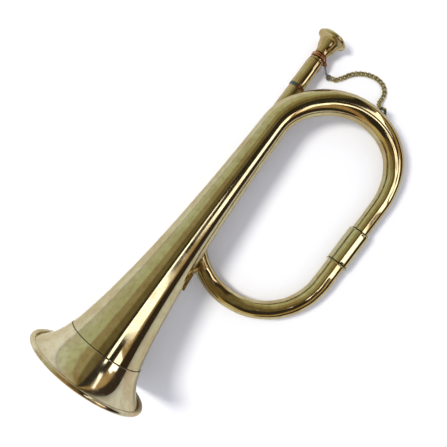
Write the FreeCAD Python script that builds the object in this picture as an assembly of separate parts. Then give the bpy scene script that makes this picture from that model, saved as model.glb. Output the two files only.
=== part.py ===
"""Valveless brass bugle with a loose mouthpiece on a short chain, lying on its side.

Frame: millimetres, +Z up. The instrument rests on the XY plane on its bell rim, its
mouthpiece rim and the collar of its outer leg. +X points out of the bell mouth and +Y from
the bell towards the outer leg. The origin is at the middle of the base.
"""
import FreeCAD, Part

import math
import os

from FreeCAD import Vector

X_AXIS = Vector(1, 0, 0)
Y_AXIS = Vector(0, 1, 0)
Z_AXIS = Vector(0, 0, 1)

# --- layout -----------------------------------------------------------------------------
BELL_TILT = 4.0             # degrees that the bell axis falls from the mouth to the tail
BELL_MOUTH_X = 176.4        # where the horn curve starts, on the bell axis
BELL_Y = -36.75
OUTER_LEG_Y = 81.75
OUTER_LEG_Z = 10.6          # the collar has this radius and touches the surface
LEADPIPE_Y = -42.0
LEADPIPE_Z = 14.0           # the mouthpiece rim has this radius and touches the surface
TOP_BEND_X = -82.2          # where the straight tubes end and the top bow starts
TOP_BEND_SKEW = 5.0         # the top bow leans this far towards the outer leg
LOWER_BEND_X = -0.5         # the same as TOP_BEND_X for the lower bow

# --- bell -------------------------------------------------------------------------------
SHEET = 0.6                 # wall of the bell body and of the bent tubes
GARLAND_SHEET = 0.9         # wall of the flare
HORN_BASE = 4.6             # horn radius = base + slope * s + two terms that die away
HORN_SLOPE = 0.011
FLARE_RISE = 14.6
FLARE_REACH = 10.5
BODY_RISE = 35.2
BODY_REACH = 128.0
GARLAND_END_S = 28.6        # lap seam, measured along the axis
LAP_LENGTH = 3.0            # the garland overlaps the bell body by this much
GARLAND_STEP = 0.5          # how far the garland stands above the bell body
RIM_TANGENT_S = 1.6         # where the flare runs into the rolled rim
RIM_FLAT_S = 1.15           # the rim is dressed flat here, square to the bell axis
BEAD_RADIUS = 2.05
BEAD_WALL = 0.8
CURL_SLIT = 0.25            # open seam where the rolled sheet ends
CURL_SLIT_ANGLE = -60.0
WIRE_CLEARANCE = 0.05
HORN_POINTS = 14            # points of a spline along the horn
LAP_POINTS = 5              # points of the short spline inside the lap

# --- bows and straight tubes ------------------------------------------------------------
TOP_BOW_END_RADIUS = 7.9
TOP_BOW_TAPER_POWER = 1.25
LOWER_BOW_START_RADIUS = 8.7
LOWER_BOW_END_RADIUS = 7.3
COUPLING_X = -40.0          # the two bows butt here, inside the ferrule
FERRULE_X = (-23.6, -56.8)
FERRULE_RADIUS = 10.0
FERRULE_SHOULDER = 1.4      # radius of the rounded top end
FERRULE_EDGE = 0.3          # chamfer of the lower end
COLLAR_X = (-21.3, -23.1)
LEADPIPE_X = (-13.0, -127.2)
LEADPIPE_RADIUS = 6.8
LEADPIPE_BORE = 5.9
PIPE_FERRULE_X = (-4.0, -22.0)
PIPE_FERRULE_RADIUS = 8.3
PIPE_FERRULE_EDGE = 0.4     # chamfer of both ends
RECEIVER_X = (-127.2, -154.2)
RECEIVER_RADIUS = 7.35
RECEIVER_THROAT = 4.2
RECEIVER_EDGE = 0.5         # chamfer of the socket end
SPIGOT_LENGTH = 8.0
SOCKET_DEPTH = 24.7
RING_CROWN = 0.4            # a half-round ring rises by this share of its width
JOINT_RING_WIDTH = 2.4
JOINT_RING_RADIUS = 7.5

# --- mouthpiece -------------------------------------------------------------------------
MOUTHPIECE_FRONT_X = -181.55
RIM_RADIUS = 14.0
SHANK_END_X = -130.2
SHANK_RADIUS = 5.2          # at the mouth of the receiver
SHANK_TAPER = 0.025         # radius lost per millimetre of depth
SHANK_CLEARANCE = 0.05
STOP_BEAD_X = (-154.7, -156.2)
STOP_BEAD_RADIUS = 7.0
STOP_BEAD_CROWN = 0.5       # how far its middle stands above its edges
NECK_RADIUS = 5.0
NECK_END_X = -162.0
STEM_RADIUS = 6.1
CUP_THROAT_X = -167.0
CUP_THROAT_RADIUS = 2.2
BACKBORE_RADIUS = 3.4

# --- tether -----------------------------------------------------------------------------
COIL_RADIUS = 6.75          # centre line of the wire turned twice round the neck
COIL_WIRE = 1.25
COIL_X = (-157.9, -160.3)
LINK_WIRE = 0.85
LINK_EYE_RADIUS = 1.9
LINK_ROUTE = [
    Vector(-158.3, -35.2, 13.0),
    Vector(-157.0, -31.4, 8.6),
    Vector(-155.0, -28.6, 3.4),
    Vector(-154.2, -26.0, 2.0),
]
LINK_EYE = Vector(-154.0, -24.1, 2.0)
ARC_SHARE = 0.45            # how much of the shorter run a corner's arc takes at each end
CHAIN_WIDTH = 4.6
CHAIN_ROUTE = [             # from the staple down to the surface and along it to the link
    Vector(-155.7, 31.0, 15.5),
    Vector(-157.4, 27.4, 9.0),
    Vector(-163.0, 25.6, 4.6),
    Vector(-171.6, 27.0, 2.45),
    Vector(-178.6, 21.5, 2.4),
    Vector(-180.6, 11.5, 2.4),
    Vector(-177.0, -0.5, 2.4),
    Vector(-169.5, -9.5, 2.4),
    Vector(-160.8, -13.8, 2.4),
    Vector(-155.4, -18.6, 2.4),
]
STAPLE_ANGLE = 92.5         # degrees round the top bow from the bell tail
STAPLE_RADIUS = 3.2
STAPLE_WIRE = 1.15
STAPLE_FOOT_RADIUS = 2.1
STAPLE_FOOT_HEIGHT = 2.0
STAPLE_FOOT_SINK = 1.0      # the foot starts this far inside the tube, then is cut to fit it

# --- braces -----------------------------------------------------------------------------
SADDLE_SHEET = 1.0
LOWER_SADDLE_SHEET = 1.9
LOWER_SADDLE_X = 66.5
LOWER_SADDLE_Z = 44.0
LOWER_SADDLE_HALF = (9.0, 6.5)
LOWER_ROD_RADIUS = 2.2
LOWER_ROD_TOP = Vector(62.5, -19.0, 41.0)
LOWER_ROD_FOOT = Vector(52.0, -13.6, 15.0)
BOW_SADDLE_RADIUS = 5.0
UPPER_BRACE_X = -58.0
UPPER_POST_RADIUS = 2.6
UPPER_SADDLE_RADIUS = 6.0

# --- worked out from the above ----------------------------------------------------------
TILT = math.radians(BELL_TILT)
TAIL_S = (BELL_MOUTH_X - TOP_BEND_X) / math.cos(TILT)
TOP_BEND_Y = (BELL_Y + OUTER_LEG_Y) / 2
TOP_BEND_RADIUS = (OUTER_LEG_Y - BELL_Y) / 2
LOWER_BEND_Y = (LEADPIPE_Y + OUTER_LEG_Y) / 2
LOWER_BEND_RADIUS = (OUTER_LEG_Y - LEADPIPE_Y) / 2
GARLAND_INSET = GARLAND_SHEET - GARLAND_STEP
LAP_S = GARLAND_END_S - LAP_LENGTH


def horn_radius(s):
    """Outer radius of the bell body at a distance s behind the start of the horn curve."""
    flare = FLARE_RISE * math.exp(-s / FLARE_REACH)
    body = BODY_RISE * math.exp(-s / BODY_REACH)
    return HORN_BASE + HORN_SLOPE * s + flare + body


def horn_point(s, stand_off):
    """Point of the horn curve moved outward by stand_off, in the profile plane."""
    flare = FLARE_RISE / FLARE_REACH * math.exp(-s / FLARE_REACH)
    body = BODY_RISE / BODY_REACH * math.exp(-s / BODY_REACH)
    slope = HORN_SLOPE - flare - body
    length = math.hypot(slope, 1)
    return Vector(-s + stand_off * slope / length, 0, horn_radius(s) + stand_off / length)


RIM_CENTRE = horn_point(RIM_TANGENT_S, BEAD_RADIUS - GARLAND_INSET)
BELL_MOUTH_Z = -RIM_CENTRE.x * math.sin(TILT) + RIM_CENTRE.z * math.cos(TILT) + BEAD_RADIUS
TAIL_Z = BELL_MOUTH_Z - TAIL_S * math.sin(TILT)


def horn_curve(s_start, s_end, stand_off, count=HORN_POINTS):
    """Smooth edge along the horn, with its points closer together towards the mouth."""
    points = []
    for i in range(count):
        share = (i / (count - 1)) ** 1.5
        points.append(horn_point(s_start + (s_end - s_start) * share, stand_off))
    return smooth(points)


def smooth(points):
    """One spline edge through the points."""
    curve = Part.BSplineCurve()
    curve.interpolate(points)
    return curve.toShape()


def arc(start, middle, end):
    """Circular edge through three points."""
    return Part.Arc(start, middle, end).toShape()


def profile(x, radius):
    """Point of a turned outline: x along the axis, radius above it."""
    return Vector(x, 0, radius)


def outline_face(edges):
    """Closed face from edges and points listed in order; gaps are joined by straight lines."""
    chain = []
    first = None
    last = None
    for item in edges:
        if isinstance(item, Vector):
            start, end = item, item
        else:
            start, end = item.firstVertex(True).Point, item.lastVertex(True).Point
        if last is not None and last.distanceToPoint(start) > 1e-6:
            chain.append(Part.makeLine(last, start))
        if not isinstance(item, Vector):
            chain.append(item)
        first = first or start
        last = end
    if last.distanceToPoint(first) > 1e-6:
        chain.append(Part.makeLine(last, first))
    return Part.Face(Part.Wire(Part.__sortEdges__(chain)))


def turned(edges, y=0.0, z=0.0):
    """Solid of revolution about the line parallel to X at the given y and z."""
    solid = outline_face(edges).revolve(Vector(0, 0, 0), X_AXIS, 360)
    solid.translate(Vector(0, y, z))
    return solid


def sleeve(x_ends, bore, radius, y, z):
    """Plain ring or tube along X."""
    low = min(x_ends)
    length = max(x_ends) - low
    outer = Part.makeCylinder(radius, length, Vector(low, y, z), X_AXIS)
    inner = Part.makeCylinder(bore, length, Vector(low, y, z), X_AXIS)
    return outer.cut(inner)


def place_bell(shape):
    """Move a shape built with the bell axis on X into its tilted place."""
    spin = FreeCAD.Rotation(Y_AXIS, -BELL_TILT)
    shape.Placement = FreeCAD.Placement(Vector(BELL_MOUTH_X, BELL_Y, BELL_MOUTH_Z), spin)
    return shape


def horn_solid(s_start, s_end, stand_off):
    """Filled horn between two distances, used to fit the parts that sit on the bell."""
    start = horn_point(s_start, stand_off)
    end = horn_point(s_end, stand_off)
    edges = [profile(start.x, 0), horn_curve(s_start, s_end, stand_off), profile(end.x, 0)]
    return place_bell(turned(edges))


# --- bell -------------------------------------------------------------------------------
def closed_face(edges):
    """Face inside edges that already meet, listed in any order and direction."""
    return Part.Face(Part.Wire(Part.__sortEdges__(edges)))


def joining_line(curve_a, curve_b, at_end):
    """Straight edge between the starts or the ends of two splines."""
    if at_end:
        return Part.makeLine(curve_a.Curve.EndPoint, curve_b.Curve.EndPoint)
    return Part.makeLine(curve_a.Curve.StartPoint, curve_b.Curve.StartPoint)


def bell_body():
    """Long conical tube of the bell, from under the garland to the top bow."""
    outer = horn_curve(LAP_S, TAIL_S, 0.0)
    inner = horn_curve(LAP_S, TAIL_S, -SHEET)
    ends = [joining_line(outer, inner, False), joining_line(outer, inner, True)]
    face = closed_face([outer, inner] + ends)
    return place_bell(face.revolve(Vector(0, 0, 0), X_AXIS, 360))


def bell_garland():
    """Flare end of the bell, lapped over the bell body and rolled round the rim wire."""
    outer = horn_curve(RIM_TANGENT_S, GARLAND_END_S, GARLAND_STEP)
    inner = horn_curve(RIM_TANGENT_S, LAP_S, -GARLAND_INSET)
    lap = horn_curve(LAP_S, GARLAND_END_S, 0.0, LAP_POINTS)
    lap_ledge = Part.makeLine(inner.Curve.EndPoint, lap.Curve.StartPoint)
    ends = [joining_line(outer, inner, False), joining_line(outer, lap, True)]
    sheet = closed_face([outer, inner, lap_ledge, lap] + ends)
    section = sheet.fuse(disc_section(BEAD_RADIUS))
    section = section.cut(disc_section(BEAD_RADIUS - BEAD_WALL))
    section = section.cut(curl_slit_section()).cut(rim_flat_section())
    face = section.removeSplitter().Faces[0]
    return place_bell(face.revolve(Vector(0, 0, 0), X_AXIS, 360))


def disc_section(radius):
    """Round section of the rolled rim, in the profile plane."""
    circle = Part.Circle(RIM_CENTRE, Y_AXIS, radius)
    return Part.Face(Part.Wire(circle.toShape()))


def curl_slit_section():
    """Narrow slot from the inside of the bead to its back, where the rolled sheet ends."""
    angle = math.radians(CURL_SLIT_ANGLE)
    along = Vector(-math.cos(angle), 0, math.sin(angle))
    across = Vector(along.z, 0, -along.x) * (CURL_SLIT / 2)
    near = RIM_CENTRE + along * (BEAD_RADIUS - 1.5 * BEAD_WALL)
    far = RIM_CENTRE + along * (BEAD_RADIUS + BEAD_WALL)
    corners = [near - across, near + across, far + across, far - across, near - across]
    return Part.Face(Part.makePolygon(corners))


def rim_flat_section():
    """Everything in front of the plane that the rim is dressed to."""
    low = RIM_CENTRE.z - 2 * BEAD_RADIUS
    high = RIM_CENTRE.z + 2 * BEAD_RADIUS
    corners = [
        profile(-RIM_FLAT_S, low),
        profile(BEAD_RADIUS, low),
        profile(BEAD_RADIUS, high),
        profile(-RIM_FLAT_S, high),
        profile(-RIM_FLAT_S, low),
    ]
    return Part.Face(Part.makePolygon(corners))


def rim_wire():
    """Stiffening wire inside the rolled rim."""
    radius = BEAD_RADIUS - BEAD_WALL - WIRE_CLEARANCE
    ring = Part.makeTorus(RIM_CENTRE.z, radius, Vector(RIM_CENTRE.x, 0, 0), X_AXIS)
    return place_bell(ring)


# --- bows -------------------------------------------------------------------------------
def top_bow_skew(angle):
    """How far the top bow leans along Y; it starts and ends without a kink."""
    return TOP_BEND_SKEW * (1 - math.cos(angle) ** 4)


def top_bow_point(angle):
    """Centre line of the top bow: it leaves the bell tail along the tilted bell axis."""
    middle = (TAIL_Z + OUTER_LEG_Z) / 2
    half = (TAIL_Z - OUTER_LEG_Z) / 2
    dip = TOP_BEND_RADIUS * math.tan(TILT) * math.sin(angle) * (1 + math.cos(angle)) / 2
    x = TOP_BEND_X - TOP_BEND_RADIUS * math.sin(angle)
    y = TOP_BEND_Y - TOP_BEND_RADIUS * math.cos(angle) + top_bow_skew(angle)
    return Vector(x, y, middle + half * math.cos(angle) - dip)


def top_bow_radius(angle):
    """Outer radius of the top bow, thick at the bell tail and thin at the outer leg."""
    loss = horn_radius(TAIL_S) - TOP_BOW_END_RADIUS
    return horn_radius(TAIL_S) - loss * (angle / math.pi) ** TOP_BOW_TAPER_POWER


def lower_bow_point(angle):
    """Centre line of the lower bow, from the outer leg round to the leadpipe."""
    middle = (OUTER_LEG_Z + LEADPIPE_Z) / 2
    half = (OUTER_LEG_Z - LEADPIPE_Z) / 2
    x = LOWER_BEND_X + LOWER_BEND_RADIUS * math.sin(angle)
    y = LOWER_BEND_Y + LOWER_BEND_RADIUS * math.cos(angle)
    return Vector(x, y, middle + half * math.cos(angle))


def lower_bow_radius(angle):
    """Outer radius of the lower bow."""
    loss = LOWER_BOW_START_RADIUS - LOWER_BOW_END_RADIUS
    return LOWER_BOW_START_RADIUS - loss * angle / math.pi


def half_turn(point_at, radius_at, stand_off):
    """Filled tapered half-turn, lofted through round sections square to its centre line."""
    degrees = [0, 2] + list(range(12, 180, 12)) + [178, 180]
    step = 1e-4
    rings = []
    for degree in degrees:
        angle = math.radians(degree)
        forward = point_at(angle + step) - point_at(angle - step)
        circle = Part.Circle(point_at(angle), forward, radius_at(angle) + stand_off)
        rings.append(Part.Wire(circle.toShape()))
    return Part.makeLoft(rings, True, False)


def top_bow_solid(stand_off):
    """Filled top bow with its straight end in the coupling."""
    bend = half_turn(top_bow_point, top_bow_radius, stand_off)
    radius = TOP_BOW_END_RADIUS + stand_off
    start = Vector(TOP_BEND_X, OUTER_LEG_Y, OUTER_LEG_Z)
    leg = Part.makeCylinder(radius, COUPLING_X - TOP_BEND_X, start, X_AXIS)
    return bend.fuse(leg)


def top_bow():
    """Tapered half-turn from the bell tail to the outer leg."""
    return top_bow_solid(0.0).cut(top_bow_solid(-SHEET))


def lower_bow_solid(stand_off):
    """Filled lower bow with its straight ends in the coupling and the leadpipe ferrule."""
    bend = half_turn(lower_bow_point, lower_bow_radius, stand_off)
    outer_start = Vector(COUPLING_X, OUTER_LEG_Y, OUTER_LEG_Z)
    outer_leg = Part.makeCylinder(
        LOWER_BOW_START_RADIUS + stand_off, LOWER_BEND_X - COUPLING_X, outer_start, X_AXIS)
    pipe_start = Vector(LEADPIPE_X[0], LEADPIPE_Y, LEADPIPE_Z)
    pipe_end = Part.makeCylinder(
        LOWER_BOW_END_RADIUS + stand_off, LOWER_BEND_X - LEADPIPE_X[0], pipe_start, X_AXIS)
    return bend.fuse([outer_leg, pipe_end])


def lower_bow():
    """Tapered half-turn that passes under the bell."""
    return lower_bow_solid(0.0).cut(lower_bow_solid(-SHEET))


# --- straight tubes and their joints ----------------------------------------------------
def coupling_ferrule():
    """Sleeve over the butt joint of the two bows, with a rounded shoulder at its top end."""
    low_x, high_x = FERRULE_X[1], FERRULE_X[0]
    corner = FERRULE_SHOULDER * (1 - math.sqrt(0.5))
    shoulder = arc(
        profile(low_x, FERRULE_RADIUS - FERRULE_SHOULDER),
        profile(low_x + corner, FERRULE_RADIUS - corner),
        profile(low_x + FERRULE_SHOULDER, FERRULE_RADIUS),
    )
    edges = [
        profile(low_x, TOP_BOW_END_RADIUS),
        shoulder,
        profile(high_x - FERRULE_EDGE, FERRULE_RADIUS),
        profile(high_x, FERRULE_RADIUS - FERRULE_EDGE),
        profile(high_x, LOWER_BOW_START_RADIUS),
        profile(COUPLING_X, LOWER_BOW_START_RADIUS),
        profile(COUPLING_X, TOP_BOW_END_RADIUS),
    ]
    return turned(edges, OUTER_LEG_Y, OUTER_LEG_Z)


def half_round_ring(x_ends, bore, radius, y, z):
    """Ring whose outer face is rounded across its whole width."""
    low_x, high_x = min(x_ends), max(x_ends)
    flank = radius - RING_CROWN * (high_x - low_x)
    crown = arc(
        profile(low_x, flank), profile((low_x + high_x) / 2, radius), profile(high_x, flank))
    return turned([profile(low_x, bore), crown, profile(high_x, bore)], y, z)


def ferrule_collar():
    """Raised ring below the coupling ferrule; the instrument rests on it."""
    return half_round_ring(
        COLLAR_X, LOWER_BOW_START_RADIUS, OUTER_LEG_Z, OUTER_LEG_Y, OUTER_LEG_Z)


def leadpipe_ferrule():
    """Sleeve over the joint of the lower bow and the leadpipe."""
    low_x, high_x = PIPE_FERRULE_X[1], PIPE_FERRULE_X[0]
    edge = PIPE_FERRULE_EDGE
    edges = [
        profile(low_x, LEADPIPE_RADIUS),
        profile(low_x, PIPE_FERRULE_RADIUS - edge),
        profile(low_x + edge, PIPE_FERRULE_RADIUS),
        profile(high_x - edge, PIPE_FERRULE_RADIUS),
        profile(high_x, PIPE_FERRULE_RADIUS - edge),
        profile(high_x, LOWER_BOW_END_RADIUS),
        profile(LEADPIPE_X[0], LOWER_BOW_END_RADIUS),
        profile(LEADPIPE_X[0], LEADPIPE_RADIUS),
    ]
    return turned(edges, LEADPIPE_Y, LEADPIPE_Z)


def leadpipe():
    """Straight tube under the bell."""
    return sleeve(LEADPIPE_X, LEADPIPE_BORE, LEADPIPE_RADIUS, LEADPIPE_Y, LEADPIPE_Z)


def joint_ring():
    """Ring over the end of the leadpipe, against the receiver."""
    ends = (LEADPIPE_X[1] + JOINT_RING_WIDTH, LEADPIPE_X[1])
    return sleeve(ends, LEADPIPE_RADIUS, JOINT_RING_RADIUS, LEADPIPE_Y, LEADPIPE_Z)


def mouthpiece_receiver():
    """Sleeve with a tapered socket, and a spigot soldered into the leadpipe."""
    mouth_x = RECEIVER_X[1]
    socket_end = mouth_x + SOCKET_DEPTH
    socket_radius = SHANK_RADIUS + SHANK_CLEARANCE
    edges = [
        profile(RECEIVER_X[0] + SPIGOT_LENGTH, RECEIVER_THROAT),
        profile(RECEIVER_X[0] + SPIGOT_LENGTH, LEADPIPE_BORE),
        profile(RECEIVER_X[0], LEADPIPE_BORE),
        profile(RECEIVER_X[0], RECEIVER_RADIUS),
        profile(mouth_x + RECEIVER_EDGE, RECEIVER_RADIUS),
        profile(mouth_x, RECEIVER_RADIUS - RECEIVER_EDGE),
        profile(mouth_x, socket_radius),
        profile(socket_end, socket_radius - SHANK_TAPER * SOCKET_DEPTH),
        profile(socket_end, RECEIVER_THROAT),
    ]
    return turned(edges, LEADPIPE_Y, LEADPIPE_Z)


# --- mouthpiece and tether --------------------------------------------------------------
def mouthpiece():
    """Turned mouthpiece: tapered shank, stop bead, grooved neck, cup and broad rim."""
    front = MOUTHPIECE_FRONT_X
    shank_depth = SHANK_END_X - RECEIVER_X[1]
    bead_low, bead_high = STOP_BEAD_X[1], STOP_BEAD_X[0]
    bead_flank = STOP_BEAD_RADIUS - STOP_BEAD_CROWN
    stop_bead = arc(
        profile(bead_high, bead_flank),
        profile((bead_low + bead_high) / 2, STOP_BEAD_RADIUS),
        profile(bead_low, bead_flank),
    )
    cup_outside = smooth([
        profile(NECK_END_X - 0.8, STEM_RADIUS),
        profile(front + 15.0, 6.8),
        profile(front + 12.2, 8.3),
        profile(front + 9.0, 9.2),
        profile(front + 6.6, 10.1),
        profile(front + 5.0, 11.8),
        profile(front + 4.2, 13.2),
    ])
    rim_back = arc(
        profile(front + 4.2, 13.2),
        profile(front + 2.9, RIM_RADIUS),
        profile(front + 1.2, 13.1),
    )
    rim_face = arc(
        profile(front + 1.2, 13.1),
        profile(front, 11.3),
        profile(front + 0.8, 9.0),
    )
    cup_inside = smooth([
        profile(front + 0.8, 9.0),
        profile(front + 2.6, 8.4),
        profile(front + 6.5, 7.1),
        profile(front + 10.2, 4.6),
        profile(CUP_THROAT_X, CUP_THROAT_RADIUS),
    ])
    edges = [
        profile(SHANK_END_X, BACKBORE_RADIUS),
        profile(SHANK_END_X, SHANK_RADIUS - SHANK_TAPER * shank_depth),
        profile(RECEIVER_X[1], SHANK_RADIUS),
        profile(bead_high, SHANK_RADIUS),
        stop_bead,
        profile(bead_low, NECK_RADIUS),
        profile(NECK_END_X, NECK_RADIUS),
        profile(NECK_END_X, STEM_RADIUS),
        cup_outside,
        rim_back,
        rim_face,
        cup_inside,
    ]
    return turned(edges, LEADPIPE_Y, LEADPIPE_Z)


def tether_coil():
    """Copper wire turned twice round the neck, loose in its groove."""
    turns = []
    for x in COIL_X:
        turns.append(Part.makeTorus(
            COIL_RADIUS, COIL_WIRE, Vector(x, LEADPIPE_Y, LEADPIPE_Z), X_AXIS))
    return turns[0].fuse(turns[1])


def rounded_route(points):
    """Straight runs joined by tangent arcs, each as large as its two runs allow.

    Returns the path as one wire and the arc radii.
    """
    edges = []
    radii = []
    last = points[0]
    for i in range(1, len(points) - 1):
        back = points[i - 1] - points[i]
        ahead = points[i + 1] - points[i]
        shorter = min(back.Length, ahead.Length)
        back.normalize()
        ahead.normalize()
        half_angle = (math.pi - back.getAngle(ahead)) / 2
        setback = ARC_SHARE * shorter
        radius = setback / math.tan(half_angle)
        start = points[i] + back * setback
        end = points[i] + ahead * setback
        bisector = back + ahead
        bisector.normalize()
        depth = radius / math.cos(half_angle) - radius
        middle = points[i] + bisector * depth
        edges.append(Part.LineSegment(last, start).toShape())
        edges.append(Part.Arc(start, middle, end).toShape())
        radii.append(radius)
        last = end
    edges.append(Part.LineSegment(last, points[-1]).toShape())
    return Part.Wire(edges), radii


def swept_tube(points, radius):
    """Round rod along a rounded route. Returns the solid, the path length and the radii."""
    path, radii = rounded_route(points)
    section = Part.Circle(points[0], points[1] - points[0], radius)
    rod = path.makePipeShell([Part.Wire(section.toShape())], True, True)
    return rod, path.Length, radii


def tether_link():
    """Wire from the coil down to an eye that holds the last link of the chain."""
    rod = swept_tube(LINK_ROUTE, LINK_WIRE)[0]
    eye = Part.makeTorus(LINK_EYE_RADIUS, LINK_WIRE, LINK_EYE, Z_AXIS)
    return rod.fuse(eye).cut(tether_coil())


def tether_chain():
    """Plain rod in the place of the curb chain, at the chain's width and real length."""
    rod, length, radii = swept_tube(CHAIN_ROUTE, CHAIN_WIDTH / 2)
    section = math.pi * CHAIN_WIDTH ** 2 / 4
    print("chain length %.1f mm, volume / (section x length) = %.4f"
          % (length, rod.Volume / (section * length)))
    print("chain arc radii", [round(radius, 1) for radius in radii])
    return rod


def chain_staple():
    """Half-loop of dark wire on two feet, on the outside of the top bow."""
    angle = math.radians(STAPLE_ANGLE)
    centre = top_bow_point(angle)
    outward = Vector(centre.x - TOP_BEND_X, centre.y - TOP_BEND_Y, 0)
    outward.normalize()
    along = Z_AXIS.cross(outward)
    surface = centre + outward * top_bow_radius(angle)
    staple = Part.makeTorus(STAPLE_RADIUS, STAPLE_WIRE, surface, Z_AXIS)
    for side in (-1, 1):
        foot = surface + along * (side * STAPLE_RADIUS) - outward * STAPLE_FOOT_SINK
        cylinder = Part.makeCylinder(STAPLE_FOOT_RADIUS, STAPLE_FOOT_HEIGHT, foot, outward)
        staple = staple.fuse(cylinder)
    return staple.cut(top_bow_solid(0.0))


# --- braces -----------------------------------------------------------------------------
def lower_saddle_blank():
    """Oval prism, square to the side of the bell, that outlines the lower saddle."""
    half_length, half_height = LOWER_SADDLE_HALF
    middle = Vector(LOWER_SADDLE_X, BELL_Y, LOWER_SADDLE_Z)
    oval = Part.Ellipse(middle, half_length, half_height)
    edge = oval.toShape()
    edge.rotate(middle, X_AXIS, 90)
    face = Part.Face(Part.Wire(edge))
    return face.extrude(Y_AXIS * (OUTER_LEG_Y - BELL_Y))


def lower_brace_bell_saddle():
    """Oval plate soldered to the side of the bell above the lower bow."""
    plate = horn_solid(LAP_S, TAIL_S, LOWER_SADDLE_SHEET).common(lower_saddle_blank())
    return plate.cut(horn_solid(LAP_S, TAIL_S, 0.0))


def lower_brace_bow_saddle():
    """Round plate soldered on top of the lower bow."""
    disc = Part.makeCylinder(BOW_SADDLE_RADIUS, LOWER_ROD_TOP.z, LOWER_ROD_FOOT)
    plate = half_turn(lower_bow_point, lower_bow_radius, SADDLE_SHEET).common(disc)
    return plate.cut(lower_bow_solid(0.0))


def lower_brace_rod():
    """Slanted rod between the two lower saddles."""
    direction = LOWER_ROD_TOP - LOWER_ROD_FOOT
    rod = Part.makeCylinder(LOWER_ROD_RADIUS, direction.Length, LOWER_ROD_FOOT, direction)
    bell = horn_solid(LAP_S, TAIL_S, LOWER_SADDLE_SHEET)
    bow = half_turn(lower_bow_point, lower_bow_radius, SADDLE_SHEET)
    return rod.cut(bell).cut(bow)


def upper_brace_axis():
    """Foot of the upper post, midway between the bell axis and the leadpipe axis."""
    return Vector(UPPER_BRACE_X, (BELL_Y + LEADPIPE_Y) / 2, LEADPIPE_Z)


def upper_brace_bell_saddle():
    """Round plate soldered to the underside of the bell tail."""
    disc = Part.makeCylinder(UPPER_SADDLE_RADIUS, TAIL_Z - LEADPIPE_Z, upper_brace_axis())
    plate = horn_solid(LAP_S, TAIL_S, SADDLE_SHEET).common(disc)
    return plate.cut(horn_solid(LAP_S, TAIL_S, 0.0))


def upper_brace_pipe_saddle():
    """Round plate soldered on top of the leadpipe."""
    disc = Part.makeCylinder(UPPER_SADDLE_RADIUS, TAIL_Z - LEADPIPE_Z, upper_brace_axis())
    shell = sleeve(
        LEADPIPE_X, LEADPIPE_RADIUS, LEADPIPE_RADIUS + SADDLE_SHEET, LEADPIPE_Y, LEADPIPE_Z)
    return shell.common(disc)


def upper_brace_post():
    """Short post between the two upper saddles."""
    post = Part.makeCylinder(UPPER_POST_RADIUS, TAIL_Z - LEADPIPE_Z, upper_brace_axis())
    start = Vector(LEADPIPE_X[1], LEADPIPE_Y, LEADPIPE_Z)
    pipe = Part.makeCylinder(
        LEADPIPE_RADIUS + SADDLE_SHEET, LEADPIPE_X[0] - LEADPIPE_X[1], start, X_AXIS)
    return post.cut(pipe).cut(horn_solid(LAP_S, TAIL_S, SADDLE_SHEET))


PARTS = [
    bell_body,
    bell_garland,
    rim_wire,
    top_bow,
    lower_bow,
    coupling_ferrule,
    ferrule_collar,
    leadpipe_ferrule,
    leadpipe,
    joint_ring,
    mouthpiece_receiver,
    lower_brace_bell_saddle,
    lower_brace_rod,
    lower_brace_bow_saddle,
    upper_brace_bell_saddle,
    upper_brace_post,
    upper_brace_pipe_saddle,
    chain_staple,
    mouthpiece,
    tether_coil,
    tether_link,
    tether_chain,
]


def main():
    """Build every part and write one STEP file for each."""
    os.makedirs("parts", exist_ok=True)
    for build in PARTS:
        shape = build()
        box = shape.BoundBox
        print("%-26s solids %d valid %s volume %8.1f  x %7.2f %7.2f  y %7.2f %7.2f  z %6.2f %6.2f"
              % (build.__name__, len(shape.Solids), shape.isValid(), shape.Volume,
                 box.XMin, box.XMax, box.YMin, box.YMax, box.ZMin, box.ZMax))
        shape.exportStep("parts/%s.step" % build.__name__)


main()
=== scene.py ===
"""Looks of the valveless brass bugle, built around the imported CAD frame.

The frame is the CAD's: +Z up, +X out of the bell mouth, +Y from the bell towards the outer
leg, and the surface that the instrument lies on at z = 0. Shapes are in millimetres, as in the
CAD, and MM turns them into metres. Materials, floor, camera and light are in metres.
"""
import math

import bmesh
import bpy
from mathutils import Matrix, Vector


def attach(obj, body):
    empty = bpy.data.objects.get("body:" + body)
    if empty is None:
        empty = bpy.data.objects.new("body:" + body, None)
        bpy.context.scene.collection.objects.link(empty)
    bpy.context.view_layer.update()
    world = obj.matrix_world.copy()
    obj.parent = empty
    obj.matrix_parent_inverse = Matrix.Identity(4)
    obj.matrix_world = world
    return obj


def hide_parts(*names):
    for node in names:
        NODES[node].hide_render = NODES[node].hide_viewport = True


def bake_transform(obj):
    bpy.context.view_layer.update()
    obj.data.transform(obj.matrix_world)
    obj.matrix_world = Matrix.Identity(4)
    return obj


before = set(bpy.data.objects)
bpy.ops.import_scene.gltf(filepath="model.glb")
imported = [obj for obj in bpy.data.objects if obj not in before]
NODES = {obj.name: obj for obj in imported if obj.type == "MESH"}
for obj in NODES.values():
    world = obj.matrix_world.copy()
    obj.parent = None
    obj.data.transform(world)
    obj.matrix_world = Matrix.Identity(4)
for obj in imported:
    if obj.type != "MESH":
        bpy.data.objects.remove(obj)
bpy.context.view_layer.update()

MM = 0.001

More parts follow.
